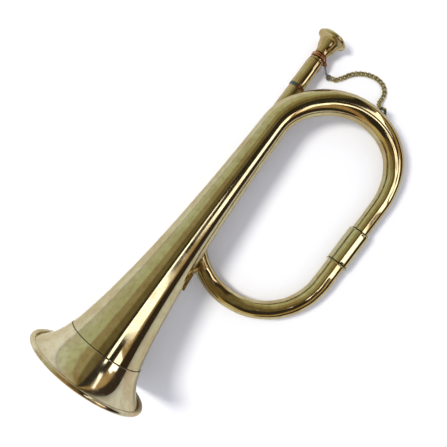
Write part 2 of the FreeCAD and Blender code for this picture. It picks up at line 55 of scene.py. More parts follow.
# --- dimensions in millimetres, as in the CAD ---------------------------
BELL_TILT = math.radians(4.0)
BELL_MOUTH_X = 176.4
HORN_BASE = 4.6                 # horn radius = base + slope * s + two terms that die away
HORN_SLOPE = 0.011
FLARE_RISE = 14.6
FLARE_REACH = 10.5
BODY_RISE = 35.2
BODY_REACH = 128.0
BELL_Y = -36.75
OUTER_LEG_Y = 81.75
OUTER_LEG_Z = 10.6
LEADPIPE_Y = -42.0
LEADPIPE_Z = 14.0
TOP_BEND_X = -82.2
LOWER_BEND_X = -0.5
COUPLING_X = -40.0
SHEET = 0.6
GARLAND_SHEET = 0.9
GARLAND_END_S = 28.6
GARLAND_STEP = 0.5
GARLAND_INSET = GARLAND_SHEET - GARLAND_STEP
LAP_LENGTH = 3.0
LAP_S = GARLAND_END_S - LAP_LENGTH
LIP_RADIUS = 0.35               # of the rounded edge of the garland
RIM_TANGENT_S = 1.6
RIM_FLAT_S = 1.15
BEAD_RADIUS = 2.05
TOP_BOW_END_RADIUS = 7.9
TOP_BOW_TAPER_POWER = 1.25
LOWER_BOW_START_RADIUS = 8.7
LOWER_BOW_END_RADIUS = 7.3
FERRULE_X = (-23.6, -56.8)
FERRULE_RADIUS = 10.0
FERRULE_SHOULDER = 1.4
COLLAR_X = (-21.3, -23.1)
GAP_EXTRA = 0.4                 # how much wider the dark gap at the collar is than in the CAD; a near-black ring of painted shade fills it
LEADPIPE_X = (-13.0, -127.2)
LEADPIPE_RADIUS = 6.8
LEADPIPE_BORE = 5.9
PIPE_FERRULE_X = (-4.0, -22.0)
PIPE_FERRULE_RADIUS = 8.3
RECEIVER_X = (-127.2, -154.2)
RECEIVER_RADIUS = 7.35
RECEIVER_THROAT = 4.2
SPIGOT_LENGTH = 8.0
SOCKET_RADIUS = 5.25
SOCKET_DEPTH = 24.7
JOINT_RING_WIDTH = 2.4
JOINT_RING_RADIUS = 7.5
MOUTHPIECE_FRONT_X = -181.55
RIM_RADIUS = 14.0
SHANK_END_X = -130.2
SHANK_RADIUS = 5.2
SHANK_TAPER = 0.025
STOP_BEAD_X = (-154.7, -156.2)
STOP_BEAD_RADIUS = 7.0
NECK_RADIUS = 5.0
NECK_END_X = -162.0
STEM_RADIUS = 6.1
CUP_THROAT_X = -167.0
CUP_THROAT_RADIUS = 2.2
BACKBORE_RADIUS = 3.4
COIL_RADIUS = 6.75
COIL_WIRE = 1.25
COIL_X = (-157.9, -160.3)
LINK_WIRE = 0.85
LINK_EYE_RADIUS = 1.9
LINK_ROUTE = [
    Vector((-158.3, -35.2, 13.0)),
    Vector((-157.0, -31.4, 8.6)),
    Vector((-155.0, -28.6, 3.4)),
    Vector((-154.2, -26.0, 2.0)),
]
LINK_EYE = Vector((-154.0, -24.1, 2.0))
CHAIN_WIDTH = 4.6
CHAIN_ROUTE = [                 # from the staple down to the surface and along it to the link
    Vector((-155.7, 31.0, 15.5)),
    Vector((-157.4, 27.4, 9.0)),
    Vector((-163.0, 25.6, 4.6)),
    Vector((-171.6, 27.0, 2.45)),
    Vector((-178.6, 21.5, 2.4)),
    Vector((-180.6, 11.5, 2.4)),
    Vector((-177.0, -0.5, 2.4)),
    Vector((-169.5, -9.5, 2.4)),
    Vector((-160.8, -13.8, 2.4)),
    Vector((-155.4, -18.6, 2.4)),
]
STAPLE_ANGLE = math.radians(92.5)
STAPLE_RADIUS = 3.2
STAPLE_WIRE = 1.15
FIT_GAP = 0.02                  # between pieces that are pushed over each other
SEAM_SINK = 0.2                 # how far a seam's near-black ring, old solder with painted shade, reaches into the metal


def horn_radius(s):
    """Outer radius of the bell at a distance s behind the start of the horn curve."""
    flare = FLARE_RISE * math.exp(-s / FLARE_REACH)
    body = BODY_RISE * math.exp(-s / BODY_REACH)
    return HORN_BASE + HORN_SLOPE * s + flare + body


def horn_point(s, stand_off):
    """(x, radius) of the horn curve moved outward by stand_off; x runs along the bell axis."""
    flare = FLARE_RISE / FLARE_REACH * math.exp(-s / FLARE_REACH)
    body = BODY_RISE / BODY_REACH * math.exp(-s / BODY_REACH)
    slope = HORN_SLOPE - flare - body
    length = math.hypot(slope, 1)
    return (-s + stand_off * slope / length, horn_radius(s) + stand_off / length)


RIM_CENTRE = horn_point(RIM_TANGENT_S, BEAD_RADIUS - GARLAND_INSET)
BELL_MOUTH_Z = (-RIM_CENTRE[0] * math.sin(BELL_TILT) + RIM_CENTRE[1] * math.cos(BELL_TILT)
                + BEAD_RADIUS)
TAIL_S = (BELL_MOUTH_X - TOP_BEND_X) / math.cos(BELL_TILT)
TAIL_Z = BELL_MOUTH_Z - TAIL_S * math.sin(BELL_TILT)
BELL_PLACE = (Matrix.Translation((BELL_MOUTH_X * MM, BELL_Y * MM, BELL_MOUTH_Z * MM))
              @ Matrix.Rotation(-BELL_TILT, 4, "Y"))
# Placements of the pieces that are turned about the axis of a straight tube.
OUTER_LEG_PLACE = Matrix.Translation((0, OUTER_LEG_Y * MM, OUTER_LEG_Z * MM))
LEADPIPE_PLACE = Matrix.Translation((0, LEADPIPE_Y * MM, LEADPIPE_Z * MM))


# --- mesh helpers -------------------------------------------------------
def add_object(name, data):
    """New object in the scene."""
    thing = bpy.data.objects.new(name, data)
    bpy.context.scene.collection.objects.link(thing)
    return thing


def add_piece(name, vertices, faces, material, sharp=35.0):
    """Closed mesh that looks outward, smooth except where it turns by more than sharp."""
    mesh = bpy.data.meshes.new(name)
    mesh.from_pydata(vertices, [], faces)
    mesh.update()
    for polygon in mesh.polygons:
        polygon.use_smooth = True
    mesh.set_sharp_from_angle(angle=math.radians(sharp))
    mesh.materials.append(material)
    piece = add_object(name, mesh)
    shape = bmesh.new()
    shape.from_mesh(mesh)
    bmesh.ops.recalc_face_normals(shape, faces=shape.faces)
    shape.to_mesh(mesh)
    shape.free()
    return piece


def smooth_corners(outline, steps=5):
    """Outline of (x, radius, rounding) points with each rounded corner replaced by an arc."""
    points = []
    count = len(outline)
    for i in range(count):
        x, radius, rounding = outline[i]
        if rounding <= 0:
            points.append((x, radius))
            continue
        corner = Vector((x, radius))
        back = Vector(outline[i - 1][:2]) - corner
        ahead = Vector(outline[(i + 1) % count][:2]) - corner
        reach = min(rounding, 0.45 * back.length, 0.45 * ahead.length)
        start = corner + back.normalized() * reach
        end = corner + ahead.normalized() * reach
        for k in range(steps + 1):
            t = k / steps
            points.append(tuple(start * (1 - t) ** 2 + corner * 2 * t * (1 - t) + end * t * t))
    return points


def arc_points(centre, width, height, start, end, steps):
    """Points (x, radius) of an arc, round or oval, between two angles in degrees."""
    points = []
    for k in range(steps + 1):
        angle = math.radians(start + (end - start) * k / steps)
        points.append((centre[0] + width * math.cos(angle), centre[1] + height * math.sin(angle)))
    return points


def lathe(name, outline, place, material, segments=160, sharp=35.0, wobble=None):
    """Turn a closed outline of (x, radius) millimetres about X and move it by place.

    wobble(x, angle) adds to the radius, in millimetres.
    """
    vertices = []
    for x, radius in outline:
        for k in range(segments):
            angle = 2 * math.pi * k / segments
            reach = radius + (wobble(x, angle) if wobble else 0.0)
            point = Vector((x, reach * math.sin(angle), reach * math.cos(angle))) * MM
            vertices.append(place @ point)
    faces = ring_faces(len(outline), segments, True)
    return add_piece(name, vertices, faces, material, sharp)


def ring_faces(rings, segments, closed):
    """Quads between rings of points, and from the last ring to the first if closed."""
    faces = []
    for i in range(rings if closed else rings - 1):
        j = (i + 1) % rings
        for k in range(segments):
            m = (k + 1) % segments
            faces.append((i * segments + k, i * segments + m, j * segments + m, j * segments + k))
    return faces


def skin(name, sections, material, segments, sharp, closed=False):
    """Body through round sections of (centre, across, up, radius) in millimetres."""
    vertices = []
    for centre, across, up, radius in sections:
        for k in range(segments):
            angle = 2 * math.pi * k / segments
            offset = across * math.cos(angle) + up * math.sin(angle)
            vertices.append((centre + offset * radius) * MM)
    faces = ring_faces(len(sections), segments, closed)
    if not closed:
        last = (len(sections) - 1) * segments
        faces += [tuple(range(segments)), tuple(range(last, last + segments))]
    return add_piece(name, vertices, faces, material, sharp)


def sweep_shell(name, stations, sheet, material, segments, wobble):
    """Hollow tube through stations of (centre, direction, radius) in millimetres.

    wobble(station share, angle) adds to the radius, in millimetres.
    """
    vertices = []
    count = len(stations)
    for inner in (False, True):
        order = range(count - 1, -1, -1) if inner else range(count)
        for i in order:
            centre, direction, radius = stations[i]
            across = direction.cross(Vector((0, 0, 1))).normalized()
            up = across.cross(direction).normalized()
            for k in range(segments):
                angle = 2 * math.pi * k / segments
                reach = radius + wobble(i / (count - 1), angle) - (sheet if inner else 0.0)
                offset = across * math.cos(angle) + up * math.sin(angle)
                vertices.append((centre + offset * reach) * MM)
    faces = ring_faces(2 * count, segments, True)
    return add_piece(name, vertices, faces, material)


def wire_sweep(name, points, radius, material, segments=16, closed=False):
    """Round wire through points in millimetres, with rounded ends unless it is closed."""
    count = len(points)
    tangents = []
    for i in range(count):
        if closed:
            tangent = points[(i + 1) % count] - points[i - 1]
        else:
            tangent = points[min(i + 1, count - 1)] - points[max(i - 1, 0)]
        tangents.append(tangent.normalized())
    side = tangents[0].orthogonal().normalized()
    sides = []
    for tangent in tangents:
        side = (side - tangent * side.dot(tangent)).normalized()
        sides.append(side.copy())
    if closed:
        # The sides have turned on their way round; the turn is shared out along the wire.
        last = (sides[-1] - tangents[0] * sides[-1].dot(tangents[0])).normalized()
        turn = math.atan2(sides[0].cross(last).dot(tangents[0]), sides[0].dot(last))
        for i in range(count):
            sides[i] = Matrix.Rotation(-turn * i / count, 3, tangents[i]) @ sides[i]
    rings = list(zip(points, tangents, sides, [radius] * count))
    if not closed:
        for angle in map(math.radians, (30, 55, 80)):
            along, reach = radius * math.sin(angle), radius * math.cos(angle)
            rings.insert(0, (points[0] - tangents[0] * along, tangents[0], sides[0], reach))
            rings.append((points[-1] + tangents[-1] * along, tangents[-1], sides[-1], reach))
    sections = [(p, side, tangent.cross(side), reach) for p, tangent, side, reach in rings]
    return skin(name, sections, material, segments, 60.0, closed)


# --- node arithmetic ----------------------------------------------------
class Sums:
    """Builds arithmetic in a node tree, one call for each node."""

    def __init__(self, tree):
        self.tree = tree

    def math(self, operation, a, b=0.0, c=0.0):
        """Math node; a, b and c are numbers or sockets."""
        node = self.tree.nodes.new("ShaderNodeMath")
        node.operation = operation
        for socket, value in zip(node.inputs, (a, b, c)):
            if isinstance(value, (int, float)):
                socket.default_value = value
            else:
                self.tree.links.new(value, socket)
        return node.outputs[0]

    def ramp(self, value, low, high):
        """0 below low, 1 above high, smooth between."""
        node = self.tree.nodes.new("ShaderNodeMapRange")
        node.interpolation_type = "SMOOTHSTEP"
        self.tree.links.new(value, node.inputs["Value"])
        node.inputs["From Min"].default_value = low
        node.inputs["From Max"].default_value = high
        return node.outputs["Result"]

    def mix(self, share, first, second):
        """Colour between first and second; each is a colour or a socket."""
        node = self.tree.nodes.new("ShaderNodeMix")
        node.data_type = "RGBA"
        for socket, value in zip((node.inputs[0], node.inputs[6], node.inputs[7]),
                                 (share, first, second)):
            if isinstance(value, tuple):
                socket.default_value = (*value, 1)
            elif isinstance(value, (int, float)):
                socket.default_value = value
            else:
                self.tree.links.new(value, socket)
        return node.outputs[2]


# --- materials ----------------------------------------------------------
EDGE_TINT = (0.80, 0.74, 0.60, 1)       # old metal stays dull where it is seen edge on


def new_metal(name, roughness):
    """New metal material, its tree and its shader."""
    material = bpy.data.materials.new(name)
    material.use_nodes = True
    tree = material.node_tree
    shader = tree.nodes["Principled BSDF"]
    shader.inputs["Metallic"].default_value = 1.0
    shader.inputs["Roughness"].default_value = roughness
    shader.inputs["Specular Tint"].default_value = EDGE_TINT
    return material, tree, shader


def noise(tree, scale, detail=2.0, stretch=(1, 1, 1)):
    """Noise from 0 to 1 over the object's own coordinates; scale is in waves per metre."""
    place = tree.nodes.new("ShaderNodeTexCoord")
    mapping = tree.nodes.new("ShaderNodeMapping")
    mapping.inputs["Scale"].default_value = stretch
    tree.links.new(place.outputs["Object"], mapping.inputs["Vector"])
    node = tree.nodes.new("ShaderNodeTexNoise")
    node.inputs["Scale"].default_value = scale
    node.inputs["Detail"].default_value = detail
    tree.links.new(mapping.outputs[0], node.inputs["Vector"])
    return node.outputs["Fac"]


def bumps(tree, shader, layers):
    """Stack of bumps: (height socket, distance in metres, strength) from coarse to fine."""
    normal = None
    for height, distance, strength in layers:
        node = tree.nodes.new("ShaderNodeBump")
        node.inputs["Distance"].default_value = distance
        node.inputs["Strength"].default_value = strength
        tree.links.new(height, node.inputs["Height"])
        if normal is not None:
            tree.links.new(normal, node.inputs["Normal"])
        normal = node.outputs[0]
    tree.links.new(normal, shader.inputs["Normal"])


def darker(colour, share):
    """A colour times a share."""
    return tuple(part * share for part in colour)


def tarnished(colour):
    """The browner colour of brass that has been left unpolished."""
    return tuple(part * share for part, share in zip(colour, (0.76, 0.66, 0.55)))


def brass(name, colour, roughness, stains, blush, waves):
    """Polished brass with pits and polishing lines.

    stains and blush are the strength of the brown and the copper patches, and waves is the
    height in metres of the slight waves that the hammer left.
    """
    material, tree, shader = new_metal(name, roughness)
    sums = Sums(tree)
    patches = sums.ramp(noise(tree, 70, 5.0), 0.44, 0.64)
    mottle = sums.ramp(noise(tree, 240, 4.0), 0.46, 0.66)
    specks = sums.ramp(noise(tree, 900, 2.0), 0.66, 0.76)
    lines = noise(tree, 260, 3.0, (0.12, 1, 1))
    copper = sums.ramp(noise(tree, 30, 2.0), 0.48, 0.66)
    tint = sums.mix(sums.math("MULTIPLY", patches, stains), colour, tarnished(colour))
    tint = sums.mix(sums.math("MULTIPLY", mottle, stains), tint, tarnished(colour))
    tint = sums.mix(sums.math("MULTIPLY", copper, blush), tint, COPPER_BLUSH)
    tint = sums.mix(sums.math("MULTIPLY", specks, 0.55), tint, darker(colour, 0.30))
    tree.links.new(tint, shader.inputs["Base Color"])
    rough = sums.math("MULTIPLY_ADD", patches, 0.12 * stains, roughness)
    rough = sums.math("MULTIPLY_ADD", specks, 0.20, rough)
    rough = sums.math("MULTIPLY_ADD", lines, 0.02, rough)
    tree.links.new(rough, shader.inputs["Roughness"])
    bumps(tree, shader, [
        (noise(tree, 90, 1.0, (0.45, 1, 1)), waves, 1.0),
        (lines, 0.0000035, 1.0),
        (specks, 0.00001, -1.0),
    ])
    return material


def dull_brass(name, colour, roughness):
    """Unpolished brass, brown in patches, as the inside of the bell has it."""
    material, tree, shader = new_metal(name, roughness)
    shader.inputs["Metallic"].default_value = 0.75
    sums = Sums(tree)
    patches = sums.ramp(noise(tree, 60, 5.0), 0.40, 0.66)
    rings = noise(tree, 500, 2.0, (1, 0.1, 0.1))
    tint = sums.mix(sums.math("MULTIPLY", patches, 0.7), colour, darker(colour, 0.5))
    tree.links.new(tint, shader.inputs["Base Color"])
    tree.links.new(sums.math("MULTIPLY_ADD", patches, 0.15, roughness),
                   shader.inputs["Roughness"])
    bumps(tree, shader, [(rings, 0.00002, 1.0)])
    return material


def worn_metal(name, colour, dirt, roughness, scale, share=0.6):
    """Small metal fitting: colour, darker dirt in patches, and a slightly rough face."""
    material, tree, shader = new_metal(name, roughness)
    sums = Sums(tree)
    grime = sums.ramp(noise(tree, scale, 3.0), 0.42, 0.62)
    tree.links.new(sums.mix(sums.math("MULTIPLY", grime, share), colour, dirt),
                   shader.inputs["Base Color"])
    tree.links.new(sums.math("MULTIPLY_ADD", grime, 0.2, roughness), shader.inputs["Roughness"])
    bumps(tree, shader, [(noise(tree, scale * 2, 2.0), 0.00003, 0.6)])
    return material


def solder_ring(name, colour, outer_half_colour, roughness):
    """Grey metal, brown on the half towards the outer leg, with a ragged line between the two."""
    material, tree, shader = new_metal(name, roughness)
    sums = Sums(tree)
    place = tree.nodes.new("ShaderNodeTexCoord")
    parts = tree.nodes.new("ShaderNodeSeparateXYZ")
    tree.links.new(place.outputs["Object"], parts.inputs[0])
    shifted = sums.math("MULTIPLY_ADD", noise(tree, 500, 3.0), 0.006, parts.outputs[1])
    middle = LEADPIPE_Y * MM + 0.003
    tint = sums.mix(sums.ramp(shifted, middle - 0.001, middle + 0.001), colour, outer_half_colour)
    tree.links.new(tint, shader.inputs["Base Color"])
    bumps(tree, shader, [(noise(tree, 700, 2.0), 0.00005, 0.8)])
    return material


COPPER_BLUSH = (0.34, 0.18, 0.07)
BELL_BRASS = brass("brass_bell", (0.46, 0.42, 0.26), 0.045, 0.4, 0.12, 0.00003)
FLARE_BRASS = brass("brass_flare", (0.53, 0.49, 0.33), 0.07, 0.5, 0.45, 0.00004)
BOW_BRASS = brass("brass_bow", (0.47, 0.42, 0.24), 0.05, 0.45, 0.30, 0.00005)
LOWER_BOW_BRASS = brass("brass_lower_bow", (0.50, 0.45, 0.26), 0.06, 0.50, 0.35, 0.00009)
FERRULE_BRASS = brass("brass_ferrule", (0.48, 0.45, 0.28), 0.045, 0.3, 0.0, 0.00002)
INSIDE_BRASS = dull_brass("brass_inside", (0.46, 0.34, 0.16), 0.30)
PIPE_BRASS = brass("brass_pipe", (0.44, 0.37, 0.21), 0.10, 0.4, 0.5, 0.00004)
BRACE_BRASS = brass("brass_brace", (0.38, 0.28, 0.12), 0.2, 0.6, 0.6, 0.00003)
MOUTHPIECE_BRASS = brass("brass_mouthpiece", (0.48, 0.43, 0.24), 0.11, 0.4, 0.45, 0.00002)
COPPER = worn_metal("copper_wire", (0.58, 0.26, 0.13), (0.16, 0.06, 0.03), 0.16, 900, 0.7)
STEEL = worn_metal("steel_wire", (0.36, 0.34, 0.38), (0.07, 0.06, 0.08), 0.25, 300)
DARK_STEEL = worn_metal("dark_steel", (0.10, 0.12, 0.12), (0.03, 0.03, 0.03), 0.35, 500)
CHAIN_BRASS = worn_metal("brass_chain", (0.60, 0.53, 0.28), (0.10, 0.08, 0.03), 0.14, 700)
GREY_RING = solder_ring("grey_ring", (0.08, 0.12, 0.13), (0.20, 0.08, 0.03), 0.30)
# The seams' near-black colour: partly old solder, partly painted shade where the seams' gaps are.
SEAM_SOLDER_AND_SHADE = worn_metal("solder", (0.05, 0.04, 0.025), (0.02, 0.015, 0.01), 0.45, 500)


# --- bell ---------------------------------------------------------------
BELL_SEGMENTS = 192
FLARE_SEGMENTS = 224


def line_inside(piece, material, first_band, last_band, segments):
    """Give the inner bands of a turned piece their own material."""
    piece.data.materials.append(material)
    for polygon in piece.data.polygons[first_band * segments:last_band * segments]:
        polygon.material_index = 1


def horn_line(s_start, s_end, stand_off, count, crowding=1.0):
    """Points of the horn curve; a crowding above 1 moves them towards the start."""
    points = []
    for i in range(count):
        share = (i / (count - 1)) ** crowding
        points.append(horn_point(s_start + (s_end - s_start) * share, stand_off))
    return points


def make_bell_body():
    """Cone of the bell, from under the garland to the top bow."""
    count = 150
    outer = horn_line(LAP_S, TAIL_S, 0.0, count, 1.3)
    inner = horn_line(LAP_S, TAIL_S, -SHEET, count, 1.3)
    piece = lathe("bell_cone", outer + inner[::-1], BELL_PLACE, BELL_BRASS,
                  BELL_SEGMENTS)
    line_inside(piece, INSIDE_BRASS, count, 2 * count, BELL_SEGMENTS)
    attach(piece, "bugle")
    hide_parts("bell_body")


def rim_angle(point):
    """Angle in degrees of a point seen from the middle of the rolled rim."""
    return math.degrees(math.atan2(point[1] - RIM_CENTRE[1], point[0] - RIM_CENTRE[0]))


def make_garland():
    """Flare with its lapped edge and its rolled rim, flat in front."""
    count = 70
    lip_s = GARLAND_END_S - LIP_RADIUS
    outer = horn_line(lip_s, RIM_TANGENT_S, GARLAND_STEP, count)
    inner = horn_line(RIM_TANGENT_S, LAP_S, -GARLAND_INSET, count)
    lip = []
    for k in range(1, 5):
        angle = math.radians(90 * k / 4)
        drop = LIP_RADIUS * (1 - math.cos(angle))
        lip.append(horn_point(lip_s + LIP_RADIUS * math.sin(angle), GARLAND_STEP - drop))
    lip.append(horn_point(GARLAND_END_S, FIT_GAP))
    lap = [horn_point(GARLAND_END_S - 0.2, FIT_GAP), horn_point(LAP_S, FIT_GAP)]
    start, end = rim_angle(outer[-1]), rim_angle(inner[0])
    if start < end:
        start += 360
    bead = arc_points(RIM_CENTRE, BEAD_RADIUS, BEAD_RADIUS, start, end, 48)[1:-1]
    bead = [(min(x, -RIM_FLAT_S), radius) for x, radius in bead]
    outline = lip[::-1] + outer + bead + inner + lap[::-1]
    piece = lathe("bell_flare", outline, BELL_PLACE, FLARE_BRASS, FLARE_SEGMENTS)
    mouth = len(lip + outer + bead)
    line_inside(piece, INSIDE_BRASS, mouth, mouth + count, FLARE_SEGMENTS)
    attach(piece, "bugle")
    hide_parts("bell_garland")


# --- bows ---------------------------------------------------------------
TOP_BEND_Y = (BELL_Y + OUTER_LEG_Y) / 2
TOP_BEND_RADIUS = (OUTER_LEG_Y - BELL_Y) / 2
TOP_BEND_SKEW = 5.0             # the top bow leans this far towards the outer leg
LOWER_BEND_Y = (LEADPIPE_Y + OUTER_LEG_Y) / 2
LOWER_BEND_RADIUS = (OUTER_LEG_Y - LEADPIPE_Y) / 2


def top_bow_skew(angle):
    """How far the top bow leans along Y; it starts and ends without a kink."""
    return TOP_BEND_SKEW * (1 - math.cos(angle) ** 4)


def top_bow_point(angle):
    """Centre line of the top bow: it leaves the bell tail along the tilted bell axis."""
    middle = (TAIL_Z + OUTER_LEG_Z) / 2
    half = (TAIL_Z - OUTER_LEG_Z) / 2
    dip = TOP_BEND_RADIUS * math.tan(BELL_TILT) * math.sin(angle) * (1 + math.cos(angle)) / 2
    return Vector((
        TOP_BEND_X - TOP_BEND_RADIUS * math.sin(angle),
        TOP_BEND_Y - TOP_BEND_RADIUS * math.cos(angle) + top_bow_skew(angle),
        middle + half * math.cos(angle) - dip))


def top_bow_radius(angle):
    """Outer radius of the top bow."""
    loss = horn_radius(TAIL_S) - TOP_BOW_END_RADIUS
    return horn_radius(TAIL_S) - loss * (angle / math.pi) ** TOP_BOW_TAPER_POWER


def lower_bow_point(angle):
    """Centre line of the lower bow, from the outer leg round to the leadpipe."""
    middle = (OUTER_LEG_Z + LEADPIPE_Z) / 2
    half = (OUTER_LEG_Z - LEADPIPE_Z) / 2
    return Vector((
        LOWER_BEND_X + LOWER_BEND_RADIUS * math.sin(angle),
        LOWER_BEND_Y + LOWER_BEND_RADIUS * math.cos(angle),
        middle + half * math.cos(angle)))


def lower_bow_radius(angle):
    """Outer radius of the lower bow."""
    loss = LOWER_BOW_START_RADIUS - LOWER_BOW_END_RADIUS
    return LOWER_BOW_START_RADIUS - loss * angle / math.pi


def turn_stations(point_at, radius_at, count):
    """Stations round a half turn."""
    stations = []
    step = 1e-3
    for i in range(count):
        angle = math.pi * i / (count - 1)
        low, high = max(0.0, angle - step), min(math.pi, angle + step)
        direction = (point_at(high) - point_at(low)).normalized()
        stations.append((point_at(angle), direction, radius_at(angle)))
    return stations


def straight_stations(start, end, radius, count):
    """Stations along a straight leg, without its end."""
    direction = (end - start).normalized()
    return [(start.lerp(end, i / count), direction, radius) for i in range(count)]


def top_bow_dents(share, angle):
    """Slight unevenness of the top bow, strongest where it runs into the outer leg."""
    late = min(1.0, max(0.0, (share - 0.45) / 0.25))
    fade = min(1.0, 8 * share, 8 * (1 - share))
    wave = math.sin(31 * share + 2 * math.sin(angle)) + 0.6 * math.sin(67 * share + angle + 1.0)
    return fade * (0.03 + 0.07 * late) * wave


def lower_bow_dents(share, angle):
    """Ripples that bending left on the lower bow."""
    fade = min(1.0, 10 * share, 10 * (1 - share))
    wave = math.sin(58 * share + math.sin(angle)) + 0.7 * math.sin(97 * share + 2 * angle)
    return fade * 0.07 * wave


def make_top_bow():
    """Tapered half-turn from the bell tail to the coupling on the outer leg."""
    stations = turn_stations(top_bow_point, top_bow_radius, 150)
    leg_end = Vector((COUPLING_X, OUTER_LEG_Y, OUTER_LEG_Z))
    leg_start = stations[-1][0]
    leg = straight_stations(leg_end, leg_start, TOP_BOW_END_RADIUS, 24)
    stations += [(centre, Vector((1, 0, 0)), radius) for centre, _, radius in leg[::-1]]
    piece = sweep_shell("bow_top", stations, SHEET, BOW_BRASS, 128, top_bow_dents)
    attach(piece, "bugle")
    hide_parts("top_bow")


def make_lower_bow():
    """Tapered half-turn under the bell, with its straight ends."""
    turn = turn_stations(lower_bow_point, lower_bow_radius, 170)
    outer_end = Vector((COUPLING_X, OUTER_LEG_Y, OUTER_LEG_Z))
    pipe_end = Vector((LEADPIPE_X[0], LEADPIPE_Y, LEADPIPE_Z))
    leg = straight_stations(outer_end, turn[0][0], LOWER_BOW_START_RADIUS, 30)
    pipe = straight_stations(pipe_end, turn[-1][0], LOWER_BOW_END_RADIUS, 10)
    pipe = [(centre, Vector((-1, 0, 0)), radius) for centre, _, radius in pipe[::-1]]
    piece = sweep_shell("bow_lower", leg + turn + pipe, SHEET, LOWER_BOW_BRASS, 128,
                        lower_bow_dents)
    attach(piece, "bugle")
    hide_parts("lower_bow")


# --- sleeves and rings --------------------------------------------------
def make_ferrule():
    """Sleeve on the outer leg: a rounded shoulder above and a sharp edge below."""
    low, high = FERRULE_X[1], FERRULE_X[0]
    edge = 0.25
    straight = low + FERRULE_SHOULDER
    outline = [(low, TOP_BOW_END_RADIUS + FIT_GAP)]
    outline += arc_points((straight, FERRULE_RADIUS - FERRULE_SHOULDER),
                          FERRULE_SHOULDER, FERRULE_SHOULDER, 180, 90, 10)
    outline += [(straight + (high - straight) * k / 12, FERRULE_RADIUS) for k in range(1, 12)]
    outline += arc_points((high - edge, FERRULE_RADIUS - edge), edge, edge, 90, 0, 4)
    outline += [
        (high, LOWER_BOW_START_RADIUS + FIT_GAP),
        (COUPLING_X, LOWER_BOW_START_RADIUS + FIT_GAP),
        (COUPLING_X, TOP_BOW_END_RADIUS + FIT_GAP),
    ]
    piece = lathe("ferrule_sleeve", outline, OUTER_LEG_PLACE, FERRULE_BRASS, 128)
    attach(piece, "bugle")
    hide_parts("coupling_ferrule")


def make_collar():
    """Raised ring just below the ferrule, with a gap between them that a near-black ring of
    painted shade fills.
    """
    low, high = COLLAR_X[1] + GAP_EXTRA, COLLAR_X[0]
    crown = 0.72
    middle = ((low + high) / 2, OUTER_LEG_Z - crown)
    outline = [(low, LOWER_BOW_START_RADIUS + FIT_GAP)]
    outline += arc_points(middle, (high - low) / 2, crown, 180, 0, 12)
    outline.append((high, LOWER_BOW_START_RADIUS + FIT_GAP))
    piece = lathe("ferrule_bead", outline, OUTER_LEG_PLACE, FERRULE_BRASS, 128)
    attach(piece, "bugle")
    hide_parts("ferrule_collar")


def make_dark_ring(name, points, place, segments=160):
    """Thin near-black ring that fills a seam: old solder, and painted shade in the seam's gap."""
    piece = lathe(name, points, place, SEAM_SOLDER_AND_SHADE, segments, 70.0)
    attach(piece, "bugle")


def make_seams():
    """Dark lines of old solder with painted shade in the seams: at the garland's lip, the
    sleeve's ends and the receiver.
    """
    back = GARLAND_END_S - 0.05
    front = GARLAND_END_S + 0.62
    make_dark_ring("garland_seam", [
        horn_point(back, -0.1),
        horn_point(back, 0.36),
        horn_point(GARLAND_END_S + 0.30, 0.22),
        horn_point(front, 0.02),
        horn_point(front, -0.1),
    ], BELL_PLACE, FLARE_SEGMENTS)
    high, low = FERRULE_X
    gap_end = COLLAR_X[1] + GAP_EXTRA + SEAM_SINK
    make_dark_ring("ferrule_gap", [
        (high - 0.05, LOWER_BOW_START_RADIUS - SEAM_SINK),
        (high - 0.05, FERRULE_RADIUS - 0.55),
        (gap_end, FERRULE_RADIUS - 0.55),
        (gap_end, LOWER_BOW_START_RADIUS - SEAM_SINK),
    ], OUTER_LEG_PLACE)
    make_dark_ring("shoulder_seam", [
        (low + 0.1, TOP_BOW_END_RADIUS - SEAM_SINK),
        (low + 0.1, TOP_BOW_END_RADIUS + 1.0),
        (low - 0.45, TOP_BOW_END_RADIUS + 0.55),
        (low - 0.95, TOP_BOW_END_RADIUS + 0.12),
        (low - 0.95, TOP_BOW_END_RADIUS - SEAM_SINK),
    ], OUTER_LEG_PLACE)
    start = RECEIVER_X[0]
    make_dark_ring("receiver_seam", [
        (start + 0.1, LEADPIPE_RADIUS - SEAM_SINK),
        (start + 0.1, RECEIVER_RADIUS + 0.05),
        (start - 0.35, RECEIVER_RADIUS - 0.1),
        (start - 0.35, LEADPIPE_RADIUS - SEAM_SINK),
    ], LEADPIPE_PLACE)


def make_leadpipe():
    """Straight tube under the bell, and the sleeve that joins it to the lower bow."""
    start, end = LEADPIPE_X
    outline = [(start + (end - start) * k / 40, LEADPIPE_RADIUS) for k in range(41)]
    outline += [(end, LEADPIPE_BORE), (start, LEADPIPE_BORE)]
    piece = lathe("leadpipe_tube", outline, LEADPIPE_PLACE, PIPE_BRASS, 96)
    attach(piece, "bugle")
    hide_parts("leadpipe")
    low, high = PIPE_FERRULE_X[1], PIPE_FERRULE_X[0]
    outline = smooth_corners([
        (low, LEADPIPE_RADIUS + FIT_GAP, 0),
        (low, PIPE_FERRULE_RADIUS, 0.6),
        (high, PIPE_FERRULE_RADIUS, 0.6),
        (high, LOWER_BOW_END_RADIUS + FIT_GAP, 0),
        (start, LOWER_BOW_END_RADIUS + FIT_GAP, 0),
        (start, LEADPIPE_RADIUS + FIT_GAP, 0),
    ])
    piece = lathe("leadpipe_sleeve", outline, LEADPIPE_PLACE, FERRULE_BRASS, 96)
    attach(piece, "bugle")
    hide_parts("leadpipe_ferrule")


